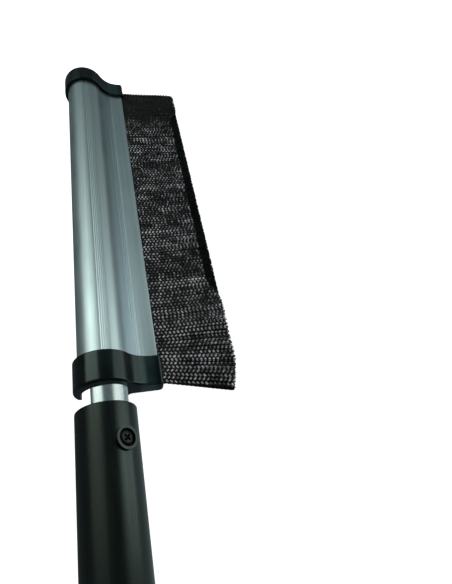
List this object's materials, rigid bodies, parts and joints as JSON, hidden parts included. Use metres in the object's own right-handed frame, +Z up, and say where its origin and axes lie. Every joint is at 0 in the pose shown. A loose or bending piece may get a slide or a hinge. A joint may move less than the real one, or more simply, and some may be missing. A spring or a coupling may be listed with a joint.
{
  "type": "roof snow rake",
  "caption": "Long-handled snow rake: a brush head of crimped bristles on an aluminium bar, on a pole that slides and turns in its handle.",
  "frame": {"origin": "centre of the flat butt end of the handle, on the handle's axis", "axes": "+X along the tool from the butt to the far end of the brush head; -Y the way the bristles point; +Z up, through the crown of the head"},
  "size_m": [0.7587, 0.107, 0.0401],
  "materials": {
    "anodised_aluminium": "satin anodised extrusion and tube, fine lines along its length",
    "gloss_black_plastic": "moulded, polished, soft reflections",
    "satin_black_plastic": "moulded, satin",
    "grip_rubber": "soft, matt",
    "white_nylon": "moulded nylon",
    "black_steel": "black finished steel",
    "zinc_steel": "zinc plated steel",
    "brass": "turned",
    "bristle": "crimped black and dark brown nylon filaments"
  },
  "bodies": {
    "handle": {"handle_shell": "satin_black_plastic", "hand_grip": "grip_rubber", "butt_cap": "satin_black_plastic", "butt_screw": "black_steel", "threaded_insert": "brass", "pressure_pad": "white_nylon"},
    "turning_bush": {"guide_bush": "satin_black_plastic"},
    "head": {"pole_tube": "anodised_aluminium", "pole_plug": "gloss_black_plastic", "glide_ring": "white_nylon", "pole_saddle": "white_nylon", "saddle_screw_1": "zinc_steel", "saddle_screw_2": "zinc_steel", "head_profile": "anodised_aluminium", "near_cap": "gloss_black_plastic", "far_cap": "gloss_black_plastic", "far_cap_screw": "black_steel", "brush_channel": "zinc_steel", "core_wire": "zinc_steel", "bristles_1": "bristle", "bristles_2": "bristle", "bristles_3": "bristle", "bristles_4": "bristle", "bristles_5": "bristle", "bristles_6": "bristle", "bristles_7": "bristle", "bristles_8": "bristle"},
    "screw_washer": {"spring_washer": "black_steel"},
    "lock_screw": {"lock_screw": "black_steel"}
  },
  "joints": [
    {"name": "head_turn", "type": "hinge", "parent": "handle", "child": "turning_bush", "pos_m": [0.398, -0.0026, 0], "axis": [1, 0, 0], "continuous": true},
    {"name": "pole_slide", "type": "slide", "parent": "turning_bush", "child": "head", "axis": [1, 0, 0], "range_m": [0, 0.27]},
    {"name": "lock_screw_turn", "type": "hinge", "parent": "handle", "child": "screw_washer", "pos_m": [0.3982, 0, 0], "axis": [0, -0.5373, 0.8434], "range_deg": [0, 450.5]},
    {"name": "lock_screw_lift", "type": "slide", "parent": "screw_washer", "child": "lock_screw", "axis": [0, -0.5373, 0.8434], "range_m": [0, 0.001]}
  ],
  "couplings": [
    {"joint": "lock_screw_turn", "follows": "lock_screw_lift", "rad_per_m": 7854}
  ]
}
